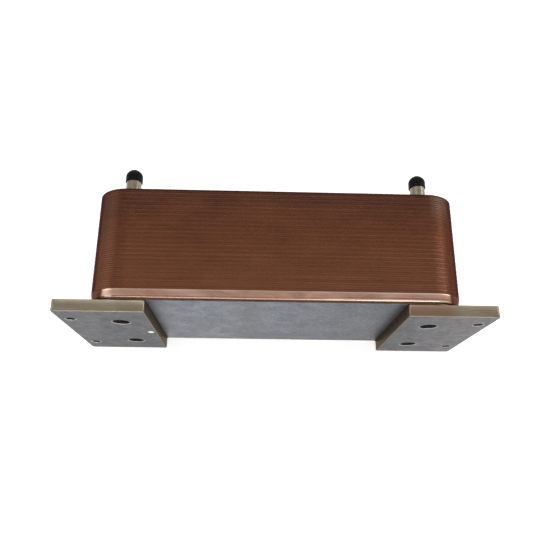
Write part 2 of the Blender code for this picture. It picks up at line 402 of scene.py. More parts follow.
def rim_seam(number):
    """Cross-section of the braze between the rim of one plate and the skirt of the next."""
    floor = FIRST_FLOOR + (number - 1) * PITCH
    rim = floor + DEPTH

    def section(core, outward):
        wet = 0.75 + 0.5 * noise.noise(Vector((core.x * 60.0, core.y * 60.0, number * 3.1)))
        lower = strayed(at_inset(core, outward, 0.00013, rim - 0.00002), outward, number, floor)
        deep = strayed(at_inset(core, outward, 0.00062, rim - 0.0007), outward, number, floor)
        climb = 0.00045 + 0.00050 * wet
        inset = (PITCH - climb) * math.tan(LEAN)
        upper = at_inset(core, outward, inset - 0.00003, rim + climb)
        upper = strayed(upper, outward, number + 1, floor + PITCH)
        back = at_inset(core, outward, inset + 0.00020, rim + climb)
        back = strayed(back, outward, number + 1, floor + PITCH)
        hollow = lower.lerp(upper, 0.35) - Vector((outward.x, outward.y, 0.0)) * 0.00012
        return [lower, hollow, upper, back, deep]

    return section


def braze_seams(materials):
    """Copper that the furnace drew into the joints: round every rim, the flange-side cover and the flanges.
    """
    bm = bmesh.new()
    for number in range(1, len(PLATES)):
        add_seam(bm, PACK_OUTLINE, rim_seam(number))
    cover_low, cover_high = height_of("flange_side_cover")
    cover_inset = (PACK_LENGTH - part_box("flange_side_cover")[1].x * 2) / 2

    def under_pack(core, outward):
        wet = 0.0005 + 0.0003 * noise.noise(Vector((core.x * 45.0, core.y * 45.0, 1.3)))
        return [
            at_inset(core, outward, cover_inset - 0.00003, cover_high - 0.0004),
            at_inset(core, outward, cover_inset - wet, FIRST_FLOOR + 0.00012),
            at_inset(core, outward, cover_inset + 0.0012, FIRST_FLOOR + 0.00005),
            at_inset(core, outward, cover_inset + 0.0012, cover_high - 0.00005),
        ]

    def on_flange(core, outward):
        wet = 0.0007 + 0.0004 * noise.noise(Vector((core.x * 70.0, core.y * 70.0, 7.9)))
        return [
            at_inset(core, outward, cover_inset - wet, cover_low - 0.00032),
            at_inset(core, outward, cover_inset - 0.00003, cover_low + 0.00035 + wet * 0.4),
            at_inset(core, outward, cover_inset + 0.0010, cover_low + 0.0002),
            at_inset(core, outward, cover_inset + 0.0010, cover_low - 0.00032),
        ]

    add_seam(bm, PACK_OUTLINE, under_pack)
    for side in SIDES.values():
        over = [s for s in PACK_OUTLINE if s[0].x * side > FLANGE_INNER_X]
        add_seam(bm, over, on_flange, closed=False)
        half = PACK_WIDTH / 2 - cover_inset - 0.0002
        across = [half * (2 * k / FLANGE_SEAM_STEPS - 1) for k in range(FLANGE_SEAM_STEPS + 1)]
        inner = [(Vector((side * FLANGE_INNER_X, y)), Vector((-side, 0.0))) for y in across]
        if side > 0:
            inner.reverse()
        add_seam(bm, inner, lambda core, outward: under_cover(core, outward, cover_low), closed=False)
    bmesh.ops.recalc_face_normals(bm, faces=bm.faces)
    finish_piece(bm, "braze_seams", materials, BODY, [])


def under_cover(core, outward, cover_low):
    """Cross-section of the braze where a flange's inner side meets the cover."""
    wet = 0.0009 + 0.0005 * noise.noise(Vector((core.x * 70.0, core.y * 70.0, 4.4)))
    return [
        at_inset(core, outward, 0.0008, cover_low - 0.00030, 0.0),
        at_inset(core, outward, -0.00003, cover_low - wet, 0.0),
        at_inset(core, outward, -wet, cover_low + 0.00003, 0.0),
        at_inset(core, outward, 0.0008, cover_low + 0.00003, 0.0),
    ]


# Covers and flanges --------------------------------------------------------------------------------------


def cover(node, name, holes, materials):
    """Flat sheet with the pack's outline, a little smaller than the rims."""
    low, high = height_of(node)
    corner_low, corner_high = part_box(node)
    length = corner_high.x - corner_low.x
    width = corner_high.z - corner_low.z
    radius = RIM_RADIUS - (PACK_LENGTH - length) / 2
    outline = rounded_outline(length, width, radius, LONG_STEPS, SHORT_STEPS)
    bm = bmesh.new()
    slab(bm, outline, radius, edge_rings(high - low, low, COVER_CHAMFER), holes, (0, 1, 0, 1))
    finish_piece(bm, name, materials, BODY, [node])


def flange(side, materials):
    """Thick plate with two ports and two bolt holes, all of them chamfered."""
    node = f"mounting_flange_{side}"
    low, high = height_of(node)
    corner_low, corner_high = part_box(node)
    centre = (corner_low.x + corner_high.x) / 2
    length, width = corner_high.x - corner_low.x, corner_high.z - corner_low.z
    outline = rounded_outline(length, width, FLANGE_CORNER, FLANGE_STEPS, FLANGE_STEPS, FLANGE_CORNER_STEPS)
    outline = [(core + Vector((centre, 0.0)), outward) for core, outward in outline]
    port = bored(BORE_RADIUS, high - low, low, HOLE_CHAMFER)
    bolt = bored(BOLT_RADIUS, high - low, low, HOLE_CHAMFER)
    holes = []
    for row in ROWS.values():
        holes.append(((SIDES[side] * PORT_X, row * PORT_Y), BORE_STEPS, port))
        holes.append(((SIDES[side] * BOLT_X, row * BOLT_Y), BOLT_STEPS, bolt))
    bm = bmesh.new()
    slab(bm, outline, FLANGE_CORNER, edge_rings(high - low, low, FLANGE_CHAMFER), holes, (0, 1, 1, 2))
    finish_piece(bm, f"flange_{side}", materials, BODY, [node])


# Stubs and caps ------------------------------------------------------------------------------------------


def turned(bm, profile, centre, closed=True, lobes=None):
    """Turns a profile of (radius, height, slot) points that runs up the outside and down the inside.

    lobes, when given, adds to the radius at an angle, given the angle and the radius.
    """
    rings = []
    for radius, height, _ in profile:
        if radius < SAME_RADIUS:
            rings.append([bm.verts.new((centre[0], centre[1], height))])
            continue
        ring = []
        for k in range(TURNED_STEPS):
            angle = 2 * math.pi * k / TURNED_STEPS
            r = radius + (lobes(angle, radius) if lobes else 0.0)
            x, y = centre[0] + r * math.cos(angle), centre[1] + r * math.sin(angle)
            ring.append(bm.verts.new((x, y, height)))
        rings.append(ring)
    pairs = list(zip(rings, rings[1:], profile))
    if closed:
        pairs.append((rings[-1], rings[0], profile[-1]))
    for low, high, (_, _, slot) in pairs:
        if len(low) == len(high) > 1:
            join_rings(bm, low, high, slot)
        elif len(high) == 1:
            for k in range(TURNED_STEPS):
                bm.faces.new((low[k], low[(k + 1) % TURNED_STEPS], high[0])).material_index = slot
        elif len(low) == 1:
            for k in range(TURNED_STEPS):
                bm.faces.new((low[0], high[(k + 1) % TURNED_STEPS], high[k])).material_index = slot


def arc(centre, radius, start, end, steps):
    """Profile points of an arc in a (radius, height) section, with angles in degrees from outwards."""
    points = []
    for step in range(steps + 1):
        angle = math.radians(start + (end - start) * step / steps)
        points.append((centre[0] + radius * math.cos(angle), centre[1] + radius * math.sin(angle), 0))
    return points


def half_width(node):
    """Largest radius of a turned CAD node."""
    low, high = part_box(node)
    return (high.x - low.x) / 2


def stub(side, materials):
    """Tube with a shoulder at its foot and a rounded lip. Its bore is the second material."""
    node = f"connection_stub_{side}"
    foot, top = height_of(node)
    cover_top = height_of("stub_side_cover")[1]
    wide = half_width(node)
    shoulder = cover_top + SHOULDER_GAP
    step = shoulder + SHOULDER_HEIGHT
    tube, bore, lip = TUBE_RADIUS, TUBE_BORE, TUBE_LIP
    profile = [(bore, foot, 1), (tube - 0.0002, foot, 0), (tube, foot + 0.0002, 0), (tube, shoulder, 0)]
    profile += [(wide - 0.0003, shoulder, 0)]
    profile += arc((wide - 0.0005, step - 0.0005), 0.0005, 0, 90, 4)
    profile += [(tube + 0.0014, step, 0)]
    profile += arc((tube + 0.0012, step + 0.0012), 0.0012, 270, 180, 5)
    profile += [(tube, step + 0.004, 0), (tube, top - 0.012, 0), (tube, top - lip - 0.0004, 0)]
    profile += arc((tube - lip, top - lip), lip, 0, 90, 4)
    profile += [(bore + 0.0003, top, 1), (bore, top - 0.0003, 1)]
    profile += [(bore, top - 0.004, 1), (bore, foot + 0.004, 1)]
    bm = bmesh.new()
    turned(bm, profile, (SIDES[side] * PORT_X, -PORT_Y))
    finish_piece(bm, f"stub_{side}", materials, BODY, [node])


def stub_braze(side, materials):
    """Braze ring round the foot of a stub, which also fills the clearance under its shoulder."""
    cover_top = height_of("stub_side_cover")[1]
    wide = half_width(f"connection_stub_{side}")
    profile = [(wide - 0.0016, cover_top - 0.0001, 0), (wide + 0.0009, cover_top - 0.0001, 0)]
    profile += [(wide + 0.00086, cover_top + 0.00006, 0), (wide + 0.0003, cover_top + 0.00028, 0)]
    profile += [(wide + 0.00004, cover_top + 0.0009, 0), (wide - 0.0004, cover_top + 0.0007, 0)]
    profile += [(wide - 0.0016, cover_top + 0.00035, 0)]

    def lobes(angle, radius):
        if radius < wide:
            return 0.0
        place = Vector((math.cos(angle) * 2.0, math.sin(angle) * 2.0, SIDES[side] * 4.0))
        return 0.00025 * noise.noise(place)

    bm = bmesh.new()
    turned(bm, profile, (SIDES[side] * PORT_X, -PORT_Y), lobes=lobes)
    finish_piece(bm, f"stub_braze_{side}", materials, BODY, [])


def cap(side, materials):
    """Soft push-on cap: a beaded mouth, a faint parting line and a tall dome, hollow inside."""
    node = f"stub_cap_{side}"
    mouth, top = height_of(node)
    widest = half_width(node)
    body = widest - CAP_BEAD
    rise = top - mouth - CAP_SKIRT
    lip, rounding = widest - CAP_ROUNDING, CAP_ROUNDING
    outer = [(lip, mouth, 0)]
    outer += arc((lip, mouth + rounding), rounding, 270, 360, 4)[1:]
    outer += [(widest, mouth + 0.0013, 0), (widest - 0.00004, mouth + 0.0016, 0), (body, mouth + 0.0019, 0)]
    outer += [(body, mouth + 0.0040, 0), (body, mouth + CAP_SKIRT - 0.0004, 0)]
    outer += [(body + 0.00006, mouth + CAP_SKIRT - 0.0001, 0)]
    for step in range(20):
        angle = math.pi / 2 * step / 20
        across = math.cos(angle) ** CAP_POINTEDNESS
        outer.append((body * across, mouth + CAP_SKIRT + 0.0001 + (rise - 0.0001) * math.sin(angle), 0))
    outer.append((0.0, top, 0))
    bore = widest - CAP_WALL
    inner = [(0.0, top - CAP_WALL, 0)]
    for step in range(9, -1, -1):
        angle = math.pi / 2 * step / 10
        inner.append((bore * math.cos(angle), mouth + CAP_SKIRT + (rise - CAP_WALL) * math.sin(angle), 0))
    inner += [(bore, mouth + 0.0006, 0), (bore + CAP_MOUTH_BEVEL / 2, mouth + 0.0002, 0)]
    inner += [(bore + CAP_MOUTH_BEVEL, mouth, 0)]
    bm = bmesh.new()
    centre = (SIDES[side] * PORT_X, -PORT_Y)
    turned(bm, outer, centre, closed=False)
    turned(bm, inner, centre, closed=False)
    bmesh.ops.remove_doubles(bm, verts=bm.verts, dist=SAME_POINT)

    def mouth_ring(radius):
        """Vertices of the mouth at a radius, in order round it."""
        ring = []
        for vert in bm.verts:
            away = math.hypot(vert.co.x - centre[0], vert.co.y - centre[1])
            if abs(vert.co.z - mouth) < SAME_POINT and abs(away - radius) < SAME_RADIUS:
                ring.append(vert)
        return sorted(ring, key=lambda vert: math.atan2(vert.co.y - centre[1], vert.co.x - centre[0]))

    join_rings(bm, mouth_ring(bore + CAP_MOUTH_BEVEL), mouth_ring(lip))
    finish_piece(bm, f"rubber_cap_{side}", materials, f"{side}_cap", [node])


# Materials -----------------------------------------------------------------------------------------------


class Surface:
    """A Principled material whose patterns read object coordinates, which are metres in the lying frame."""

    def __init__(self, name, **constants):
        self.material = bpy.data.materials.new(name)
        self.material.use_nodes = True
        self.tree = self.material.node_tree
        self.shader = self.tree.nodes["Principled BSDF"]
        for socket, value in constants.items():
            self.shader.inputs[socket.replace("_", " ")].default_value = value
        self.place = self.add("ShaderNodeTexCoord").outputs["Object"]
        self.normal = None

    def add(self, kind, **settings):
        node = self.tree.nodes.new(kind)
        for setting, value in settings.items():
            setattr(node, setting, value)
        return node

    def put(self, socket, value):
        if isinstance(value, bpy.types.NodeSocket):
            self.tree.links.new(value, socket)
        else:
            socket.default_value = value

    def noise(self, per_metre, detail=3.0, roughness=0.55, shift=0.0, distortion=0.0):
        """Noise from 0 to 1 with so many features a metre along X, Y and Z."""
        mapping = self.add("ShaderNodeMapping")
        self.put(mapping.inputs["Vector"], self.place)
        mapping.inputs["Scale"].default_value = per_metre
        mapping.inputs["Location"].default_value = (shift, shift * 1.7, shift * 2.3)
        texture = self.add("ShaderNodeTexNoise")
        self.put(texture.inputs["Vector"], mapping.outputs["Vector"])
        texture.inputs["Scale"].default_value = 1.0
        texture.inputs["Detail"].default_value = detail
        texture.inputs["Roughness"].default_value = roughness
        texture.inputs["Distortion"].default_value = distortion
        return texture.outputs["Fac"]

    def math(self, operation, first, second=0.0, clamp=False):
        node = self.add("ShaderNodeMath", operation=operation, use_clamp=clamp)
        self.put(node.inputs[0], first)
        self.put(node.inputs[1], second)
        return node.outputs[0]

    def spread(self, value, low, high, out_low=0.0, out_high=1.0):
        """Maps a range of values to another range, held at its ends."""
        node = self.add("ShaderNodeMapRange")
        for number, entry in enumerate((value, low, high, out_low, out_high)):
            self.put(node.inputs[number], entry)
        return node.outputs[0]

    def between(self, value, start, full, fading, end):
        """1 from full to fading, and down to 0 at start and end."""
        return self.math("MULTIPLY", self.spread(value, start, full), self.spread(value, end, fading))

    def ramp(self, value, stops):
        node = self.add("ShaderNodeValToRGB")
        while len(node.color_ramp.elements) < len(stops):
            node.color_ramp.elements.new(0.5)
        for element, (position, colour) in zip(node.color_ramp.elements, stops):
            element.position = position
            element.color = (*colour, 1.0)
        self.put(node.inputs[0], value)
        return node.outputs["Color"]

    def blend(self, factor, first, second, mode="MIX"):
        node = self.add("ShaderNodeMix", data_type="RGBA", blend_type=mode)
        self.put(node.inputs[0], factor)
        for socket, colour in ((node.inputs[6], first), (node.inputs[7], second)):
            self.put(socket, colour if isinstance(colour, bpy.types.NodeSocket) else (*colour, 1.0))
        return node.outputs[2]

    def axis(self, name):
        node = self.add("ShaderNodeSeparateXYZ")
        self.put(node.inputs[0], self.place)
        return node.outputs[name]

    def from_middle(self):
        """Distance from the middle plane of the pack, along it."""
        return self.math("ABSOLUTE", self.axis("X"))

    def bump(self, height, distance, strength=1.0):
        node = self.add("ShaderNodeBump")
        self.put(node.inputs["Height"], height)
        node.inputs["Distance"].default_value = distance
        node.inputs["Strength"].default_value = strength
        if self.normal is not None:
            self.put(node.inputs["Normal"], self.normal)
        self.normal = node.outputs["Normal"]

    def done(self, colour, roughness):
        self.put(self.shader.inputs["Base Color"], colour)
        self.put(self.shader.inputs["Roughness"], roughness)
        if self.normal is not None:
            self.put(self.shader.inputs["Normal"], self.normal)
        return self.material


def pack_copper():
    """Stainless plates with a wash of oxidised copper: each plate has its own tone, and the rims are lighter
    with wear and painted highlight.

    The bare numbers along X and Y are the places, in metres, where the photo's pack changes tone.
    """
    s = Surface("pack_copper", Metallic=0.85, Specular_Tint=EDGE_TINT)
    first_rim = FACE_Y + FIRST_FLOOR + DEPTH
    # The number of each plate, and a value that runs from 0 to 1 from one rim to the next
    turn = s.math("DIVIDE", s.math("SUBTRACT", s.axis("Y"), first_rim), PITCH)
    number = s.math("FLOOR", turn)
    within = s.math("SUBTRACT", turn, number)
    own = s.add("ShaderNodeTexWhiteNoise", noise_dimensions="1D")
    s.put(own.inputs["W"], number)
    paired = s.math("FLOORED_MODULO", number, 2.0)
    streaks = s.noise((9.0, 420.0, 9.0), 4.0, 0.6)
    clouds = s.noise((14.0, 22.0, 14.0), 4.0, 0.6, 3.0, 0.4)
    specks = s.noise((700.0, 900.0, 700.0), 2.0, 0.6, 8.0)
    along, up = s.axis("X"), s.axis("Y")
    purple_to_olive = s.spread(s.math("ADD", up, s.spread(clouds, 0.3, 0.7, -0.03, 0.03)), -0.085, 0.07)
    body = s.ramp(
        purple_to_olive,
        [(0.0, (0.282, 0.109, 0.054)), (0.45, (0.240, 0.087, 0.042)), (1.0, (0.122, 0.049, 0.034))],
    )
    smooth = s.math("MAXIMUM", s.spread(along, -0.2065, -0.2105), s.spread(along, 0.2190, 0.2230))
    # Lines between the plates, which fade on the smooth corners
    lined = s.spread(smooth, 0.0, 1.0, 1.0, 0.25)
    contrast = s.math("MULTIPLY", s.spread(s.from_middle(), 0.12, 0.20, 0.08, 0.17), lined)
    lighter = s.math("MULTIPLY", s.spread(own.outputs["Value"], 0.55, 1.0, 0.0, 0.20), lined)
    tone = s.math("ADD", lighter, s.math("MULTIPLY", paired, contrast))
    tone = s.math("ADD", tone, s.spread(streaks, 0.25, 0.75, 0.50, 0.57))
    greys = s.ramp(tone, [(0.0, (0.35, 0.35, 0.35)), (1.0, (1.0, 1.0, 1.0))])
    colour = s.blend(1.0, body, greys, "MULTIPLY")
    # Painted shade in the crevice just past each rim
    crevice_shade = s.math("MULTIPLY", s.spread(within, 0.02, 0.24, 0.32, 0.0), lined)
    colour = s.blend(crevice_shade, colour, (0.030, 0.012, 0.008))
    # Lighter rims: partly wear, partly painted highlight
    rim_wear_and_highlight = s.math("MULTIPLY", s.spread(within, 0.86, 0.97), s.spread(specks, 0.35, 0.65, 0.06, 0.28))
    colour = s.blend(s.math("MULTIPLY", rim_wear_and_highlight, lined), colour, (0.36, 0.195, 0.130))
    # Loose stains, a darker strip before the left corner, and painted shade on the corners
    stains_and_shade = s.spread(s.noise((45.0, 60.0, 45.0), 5.0, 0.65, 14.0), 0.57, 0.74, 0.0, 0.14)
    strip = s.between(along, -0.1980, -0.2040, -0.2150, -0.2180)
    stains_and_shade = s.math("ADD", stains_and_shade, s.math("MULTIPLY", strip, 0.22), clamp=True)
    stains_and_shade = s.math("MAXIMUM", stains_and_shade, s.spread(s.from_middle(), 0.208, 0.217, 0.0, 0.17))
    stains_and_shade = s.math("MAXIMUM", stains_and_shade, s.spread(along, 0.2215, 0.2275, 0.0, 0.52))
    colour = s.blend(stains_and_shade, colour, (0.060, 0.024, 0.018))
    # Painted highlight low on the right corner, and a greyer tone high on it and on the left corner, partly
    # tarnish and partly painted sheen
    corner_highlight = s.between(along, 0.2075, 0.2125, 0.2205, 0.2235)
    reddish = s.spread(up, 0.000, -0.050, 0.02, 0.22)
    reddish = s.math("MULTIPLY", reddish, s.spread(paired, 0.0, 1.0, 0.4, 1.0))
    colour = s.blend(s.math("MULTIPLY", corner_highlight, reddish), colour, (0.50, 0.255, 0.185))
    greyed = s.between(along, 0.2085, 0.2115, 0.2340, 0.2370)
    greyed = s.math("MULTIPLY", greyed, s.spread(up, 0.015, 0.042, 0.0, 0.60))
    greyed = s.math("MAXIMUM", greyed, s.spread(along, -0.214, -0.228, 0.0, 0.22))
    colour = s.blend(greyed, colour, (0.150, 0.098, 0.072))
    # Painted shade on the ends of the pack and on the last rim
    colour = s.blend(s.spread(s.from_middle(), 0.2365, 0.2420, 0.0, 0.82), colour, (0.022, 0.012, 0.011))
    last_rim = FACE_Y + height_of(PLATES[-1])[1]
    rim_shade = s.spread(up, last_rim - 0.0024, last_rim - 0.0010, 0.0, 0.8)
    colour = s.blend(rim_shade, colour, (0.024, 0.014, 0.012))
    rough = s.spread(streaks, 0.2, 0.8, 0.36, 0.58)
    s.bump(streaks, 0.00006, 0.25)
    s.bump(specks, 0.00002, 0.5)
    return s.done(colour, rough)


def bright_copper():
    """The first plate, whose whole skirt shows: a clean pinkish copper wash with drips, painted highlights on
    its rim and bend, and painted shade at its foot and ends.
    """
    s = Surface("bright_copper", Metallic=0.75, Specular_Tint=EDGE_TINT)
    height = s.math("SUBTRACT", s.axis("Y"), FACE_Y + FIRST_FLOOR)
    clouds = s.noise((26.0, 60.0, 26.0), 4.0, 0.6, 2.0, 0.5)
    streaks = s.noise((26.0, 900.0, 26.0), 3.0, 0.6, 5.0)
    grain = s.noise((900.0, 900.0, 900.0), 2.0, 0.6, 9.0)
    colour = s.ramp(
        clouds,
        [(0.25, (0.47, 0.260, 0.180)), (0.5, (0.60, 0.360, 0.265)), (0.75, (0.71, 0.475, 0.375))],
    )
    colour = s.blend(s.spread(streaks, 0.45, 0.7, 0.0, 0.35), colour, (0.36, 0.18, 0.115))
    along = s.axis("X")
    # A darker stripe under the middle of the skirt, towards the right end
    dull = s.between(height, 0.0026, 0.0034, 0.0046, 0.0056)
    dull = s.math("MULTIPLY", dull, s.spread(along, 0.04, 0.16, 0.0, 0.65))
    colour = s.blend(dull, colour, (0.30, 0.125, 0.085))
    # Painted highlights on the rim and the bend on the right, and painted shade on the bend on the left
    rim = s.spread(height, DEPTH - 0.0020, DEPTH - 0.0009)
    rim = s.math("MULTIPLY", rim, s.spread(along, 0.08, 0.20, 0.30, 0.85))
    bend = s.between(height, 0.0006, 0.0012, 0.0022, 0.0030)
    dimmed = s.math("MULTIPLY", bend, s.spread(along, 0.10, -0.02, 0.0, 0.75))
    colour = s.blend(dimmed, colour, (0.25, 0.115, 0.075))
    bend = s.math("MULTIPLY", bend, s.spread(along, 0.04, 0.15, 0.0, 0.75))
    # Painted highlights on the left corner, at the rim and at the bend
    spots = s.between(along, -0.2125, -0.2155, -0.2220, -0.2245)
    ends = s.spread(height, DEPTH - 0.0026, DEPTH - 0.0012)
    ends = s.math("MAXIMUM", ends, s.spread(height, 0.0036, 0.0026))
    spots = s.math("MULTIPLY", s.math("MULTIPLY", spots, ends), 0.8)
    colour = s.blend(s.math("MAXIMUM", s.math("MAXIMUM", rim, bend), spots), colour, (0.95, 0.76, 0.63))
    # Painted shade where the floor begins, and at both ends of the pack
    colour = s.blend(s.spread(height, 0.0009, 0.0002, 0.0, 0.7), colour, (0.24, 0.10, 0.06))
    end_shade = s.math("ADD", s.from_middle(), s.spread(clouds, 0.3, 0.7, -0.0008, 0.0008))
    end_shade = s.math("ADD", end_shade, s.spread(height, 0.0, DEPTH, 0.0, 0.003))
    colour = s.blend(s.spread(end_shade, 0.2278, 0.2306, 0.0, 0.95), colour, (0.120, 0.045, 0.030))
    s.bump(streaks, 0.00003, 0.5)
    s.bump(grain, 0.00002, 0.5)
    return s.done(colour, s.spread(clouds, 0.3, 0.7, 0.24, 0.40))


def braze_copper():
    """Copper that has run and set again: warm, uneven and a little glossy."""
    s = Surface("braze_copper", Metallic=0.8)
    clouds = s.noise((120.0, 120.0, 120.0), 4.0, 0.65, 6.0)
    grain = s.noise((1500.0, 1500.0, 1500.0), 2.0, 0.5, 1.0)
    colour = s.ramp(
        clouds,
        [(0.3, (0.080, 0.032, 0.018)), (0.55, (0.17, 0.066, 0.034)), (0.8, (0.30, 0.13, 0.07))],
    )
    s.bump(clouds, 0.0001, 0.4)
    s.bump(grain, 0.00002, 0.6)
    return s.done(colour, s.spread(grain, 0.3, 0.7, 0.30, 0.50))


def seam_copper():
    """Braze left in the dark grooves between rims, dulled by the furnace."""
    s = Surface("seam_copper", Metallic=0.8, Specular_Tint=EDGE_TINT)
    clouds = s.noise((60.0, 340.0, 60.0), 4.0, 0.65, 11.0)
    grain = s.noise((1300.0, 1300.0, 1300.0), 2.0, 0.5, 4.0)
    colour = s.ramp(
        clouds,
        [(0.3, (0.070, 0.026, 0.014)), (0.55, (0.110, 0.040, 0.021)), (0.8, (0.17, 0.065, 0.036))],
    )
    # Painted shade under the first plate, at the cover and the flanges
    foot = s.spread(s.axis("Y"), FACE_Y + FIRST_FLOOR, FACE_Y + FIRST_FLOOR - 0.0006, 0.0, 0.75)
    colour = s.blend(foot, colour, (0.030, 0.022, 0.018))
    s.bump(grain, 0.00003, 0.6)
    return s.done(colour, s.spread(clouds, 0.3, 0.7, 0.40, 0.62))


def cover_steel():
    """Cover sheet after the furnace: cloudy blue-grey, hazy and patchy, and darker towards the right."""
    s = Surface("cover_steel_sheet", Metallic=0.75)
    clouds = s.noise((34.0, 34.0, 34.0), 5.0, 0.62, 1.0, 0.6)
    fine = s.noise((190.0, 190.0, 190.0), 4.0, 0.6, 3.0)
    rolled = s.noise((24.0, 24.0, 1600.0), 3.0, 0.6, 7.0)
    colour = s.ramp(
        clouds,
        [(0.30, (0.076, 0.087, 0.112)), (0.5, (0.121, 0.136, 0.167)), (0.70, (0.202, 0.216, 0.243))],
    )
    colour = s.blend(s.spread(fine, 0.5, 0.72, 0.0, 0.35), colour, (0.100, 0.104, 0.118))
    haze = s.noise((11.0, 11.0, 5.0), 3.0, 0.55, 19.0, 0.6)
    colour = s.blend(s.spread(haze, 0.48, 0.62, 0.0, 0.42), colour, (0.104, 0.094, 0.096))
    pale = s.noise((16.0, 16.0, 16.0), 4.0, 0.6, 27.0, 0.8)
    colour = s.blend(s.spread(pale, 0.52, 0.64, 0.0, 0.50), colour, (0.205, 0.224, 0.258))
    colour = s.blend(s.spread(rolled, 0.55, 0.8, 0.0, 0.18), colour, (0.25, 0.26, 0.275))
    colour = s.blend(s.spread(s.axis("X"), -0.06, 0.10, 0.0, 0.55), colour, (0.030, 0.029, 0.036))
    s.bump(rolled, 0.00002, 0.4)
    s.bump(clouds, 0.00025, 0.25)
    return s.done(colour, s.spread(fine, 0.3, 0.7, 0.34, 0.50))


def cover_edge():
    """Sheared edge of a cover, with copper run down on to it."""
    s = Surface("cover_edge", Metallic=0.7)
    run = s.noise((90.0, 60.0, 90.0), 4.0, 0.6, 5.0)
    fine = s.noise((900.0, 300.0, 900.0), 3.0, 0.6, 9.0)
    colour = s.ramp(
        run,
        [(0.35, (0.12, 0.10, 0.095)), (0.55, (0.19, 0.145, 0.12)), (0.75, (0.27, 0.15, 0.095))],
    )
    colour = s.blend(s.spread(fine, 0.5, 0.75, 0.0, 0.4), colour, (0.075, 0.06, 0.055))
    s.bump(fine, 0.00004, 0.5)
    return s.done(colour, s.spread(run, 0.3, 0.7, 0.36, 0.52))


def flange_face(dotted):
    """Ground mount face: mottling, stains, grinding lines, and on one flange a dot of marker paint."""
    s = Surface("flange_face_dotted" if dotted else "flange_face", Metallic=0.6)
    clouds = s.noise((42.0, 42.0, 42.0), 5.0, 0.6, 2.0, 0.5)
    stains = s.noise((75.0, 75.0, 75.0), 5.0, 0.68, 12.0, 0.8)
    lines = s.noise((22.0, 22.0, 2600.0), 3.0, 0.6, 4.0)
    specks = s.noise((420.0, 420.0, 420.0), 3.0, 0.55, 6.0)
    colour = s.ramp(
        clouds,
        [(0.30, (0.041, 0.040, 0.046)), (0.5, (0.060, 0.059, 0.067)), (0.72, (0.098, 0.095, 0.102))],
    )
    haze = s.noise((15.0, 15.0, 9.0), 3.0, 0.55, 23.0, 0.6)
    colour = s.blend(s.spread(haze, 0.47, 0.60, 0.0, 0.45), colour, (0.066, 0.054, 0.051))
    pale = s.noise((24.0, 24.0, 24.0), 4.0, 0.6, 31.0, 0.8)
    colour = s.blend(s.spread(pale, 0.54, 0.66, 0.0, 0.45), colour, (0.098, 0.104, 0.120))
    colour = s.blend(s.spread(s.axis("X"), 0.252, 0.190, 0.0, 0.72), colour, (0.028, 0.030, 0.036))
    colour = s.blend(s.spread(stains, 0.58, 0.72, 0.0, 0.45), colour, (0.054, 0.048, 0.046))
    colour = s.blend(s.spread(lines, 0.52, 0.8, 0.0, 0.22), colour, (0.125, 0.122, 0.127))
    colour = s.blend(s.spread(specks, 0.70, 0.78, 0.0, 0.6), colour, (0.034, 0.030, 0.028))
    rough = s.spread(stains, 0.3, 0.7, 0.36, 0.54)
    if dotted:
        edge = s.spread(s.noise((600.0, 600.0, 600.0), 3.0, 0.5, 21.0), 0.3, 0.7, -0.0005, 0.0005)
        far_x = s.math("SUBTRACT", s.axis("X"), PAINT_DOT[0])
        far_z = s.math("SUBTRACT", s.axis("Z"), PAINT_DOT[1])
        squares = s.math("ADD", s.math("MULTIPLY", far_x, far_x), s.math("MULTIPLY", far_z, far_z))
        away = s.math("ADD", s.math("SQRT", squares), edge)
        paint = s.spread(away, PAINT_RADIUS - 0.0003, PAINT_RADIUS + 0.0003, 1.0, 0.0)
        streaky = s.spread(s.noise((260.0, 260.0, 900.0), 3.0, 0.5, 17.0), 0.3, 0.7, 0.86, 1.0)
        paint = s.math("MULTIPLY", paint, streaky)
        colour = s.blend(paint, colour, (0.90, 0.89, 0.86))
        s.put(s.shader.inputs["Metallic"], s.spread(paint, 0.0, 1.0, 0.6, 0.0))
        s.bump(paint, 0.00012, 0.7)
    s.bump(lines, 0.00002, 0.5)
    s.bump(specks, 0.00003, 0.35)
    return s.done(colour, rough)


def flange_edge():
    """Milled edge of a flange: fine cutter lines and a straw tint, copper run over part of the right one."""
    s = Surface("flange_edge", Metallic=0.8, Specular_Tint=(0.45, 0.40, 0.34, 1.0))
    lines = s.noise((30.0, 1500.0, 30.0), 3.0, 0.6, 3.0)
    heat = s.noise((18.0, 40.0, 18.0), 4.0, 0.6, 8.0, 0.4)
    specks = s.noise((650.0, 650.0, 650.0), 3.0, 0.55, 2.0)
    colour = s.ramp(
        heat,
        [(0.28, (0.245, 0.200, 0.140)), (0.5, (0.330, 0.280, 0.200)), (0.75, (0.400, 0.355, 0.275))],
    )
    colour = s.blend(s.spread(lines, 0.45, 0.75, 0.0, 0.4), colour, (0.125, 0.100, 0.072))
    colour = s.blend(s.spread(specks, 0.66, 0.76, 0.0, 0.5), colour, (0.07, 0.055, 0.045))
    washed = s.between(s.axis("X"), 0.160, 0.176, 0.222, 0.246)
    washed = s.math("MULTIPLY", washed, s.spread(heat, 0.3, 0.6, 0.50, 0.95))
    colour = s.blend(washed, colour, (0.270, 0.165, 0.105))
    shaded = s.spread(s.from_middle(), FLANGE_INNER_X + 0.0012, FLANGE_INNER_X + 0.0004, 0.0, 0.80)
    colour = s.blend(shaded, colour, (0.062, 0.048, 0.038))
    s.bump(lines, 0.00005, 0.55)
    return s.done(colour, s.spread(lines, 0.3, 0.7, 0.30, 0.48))


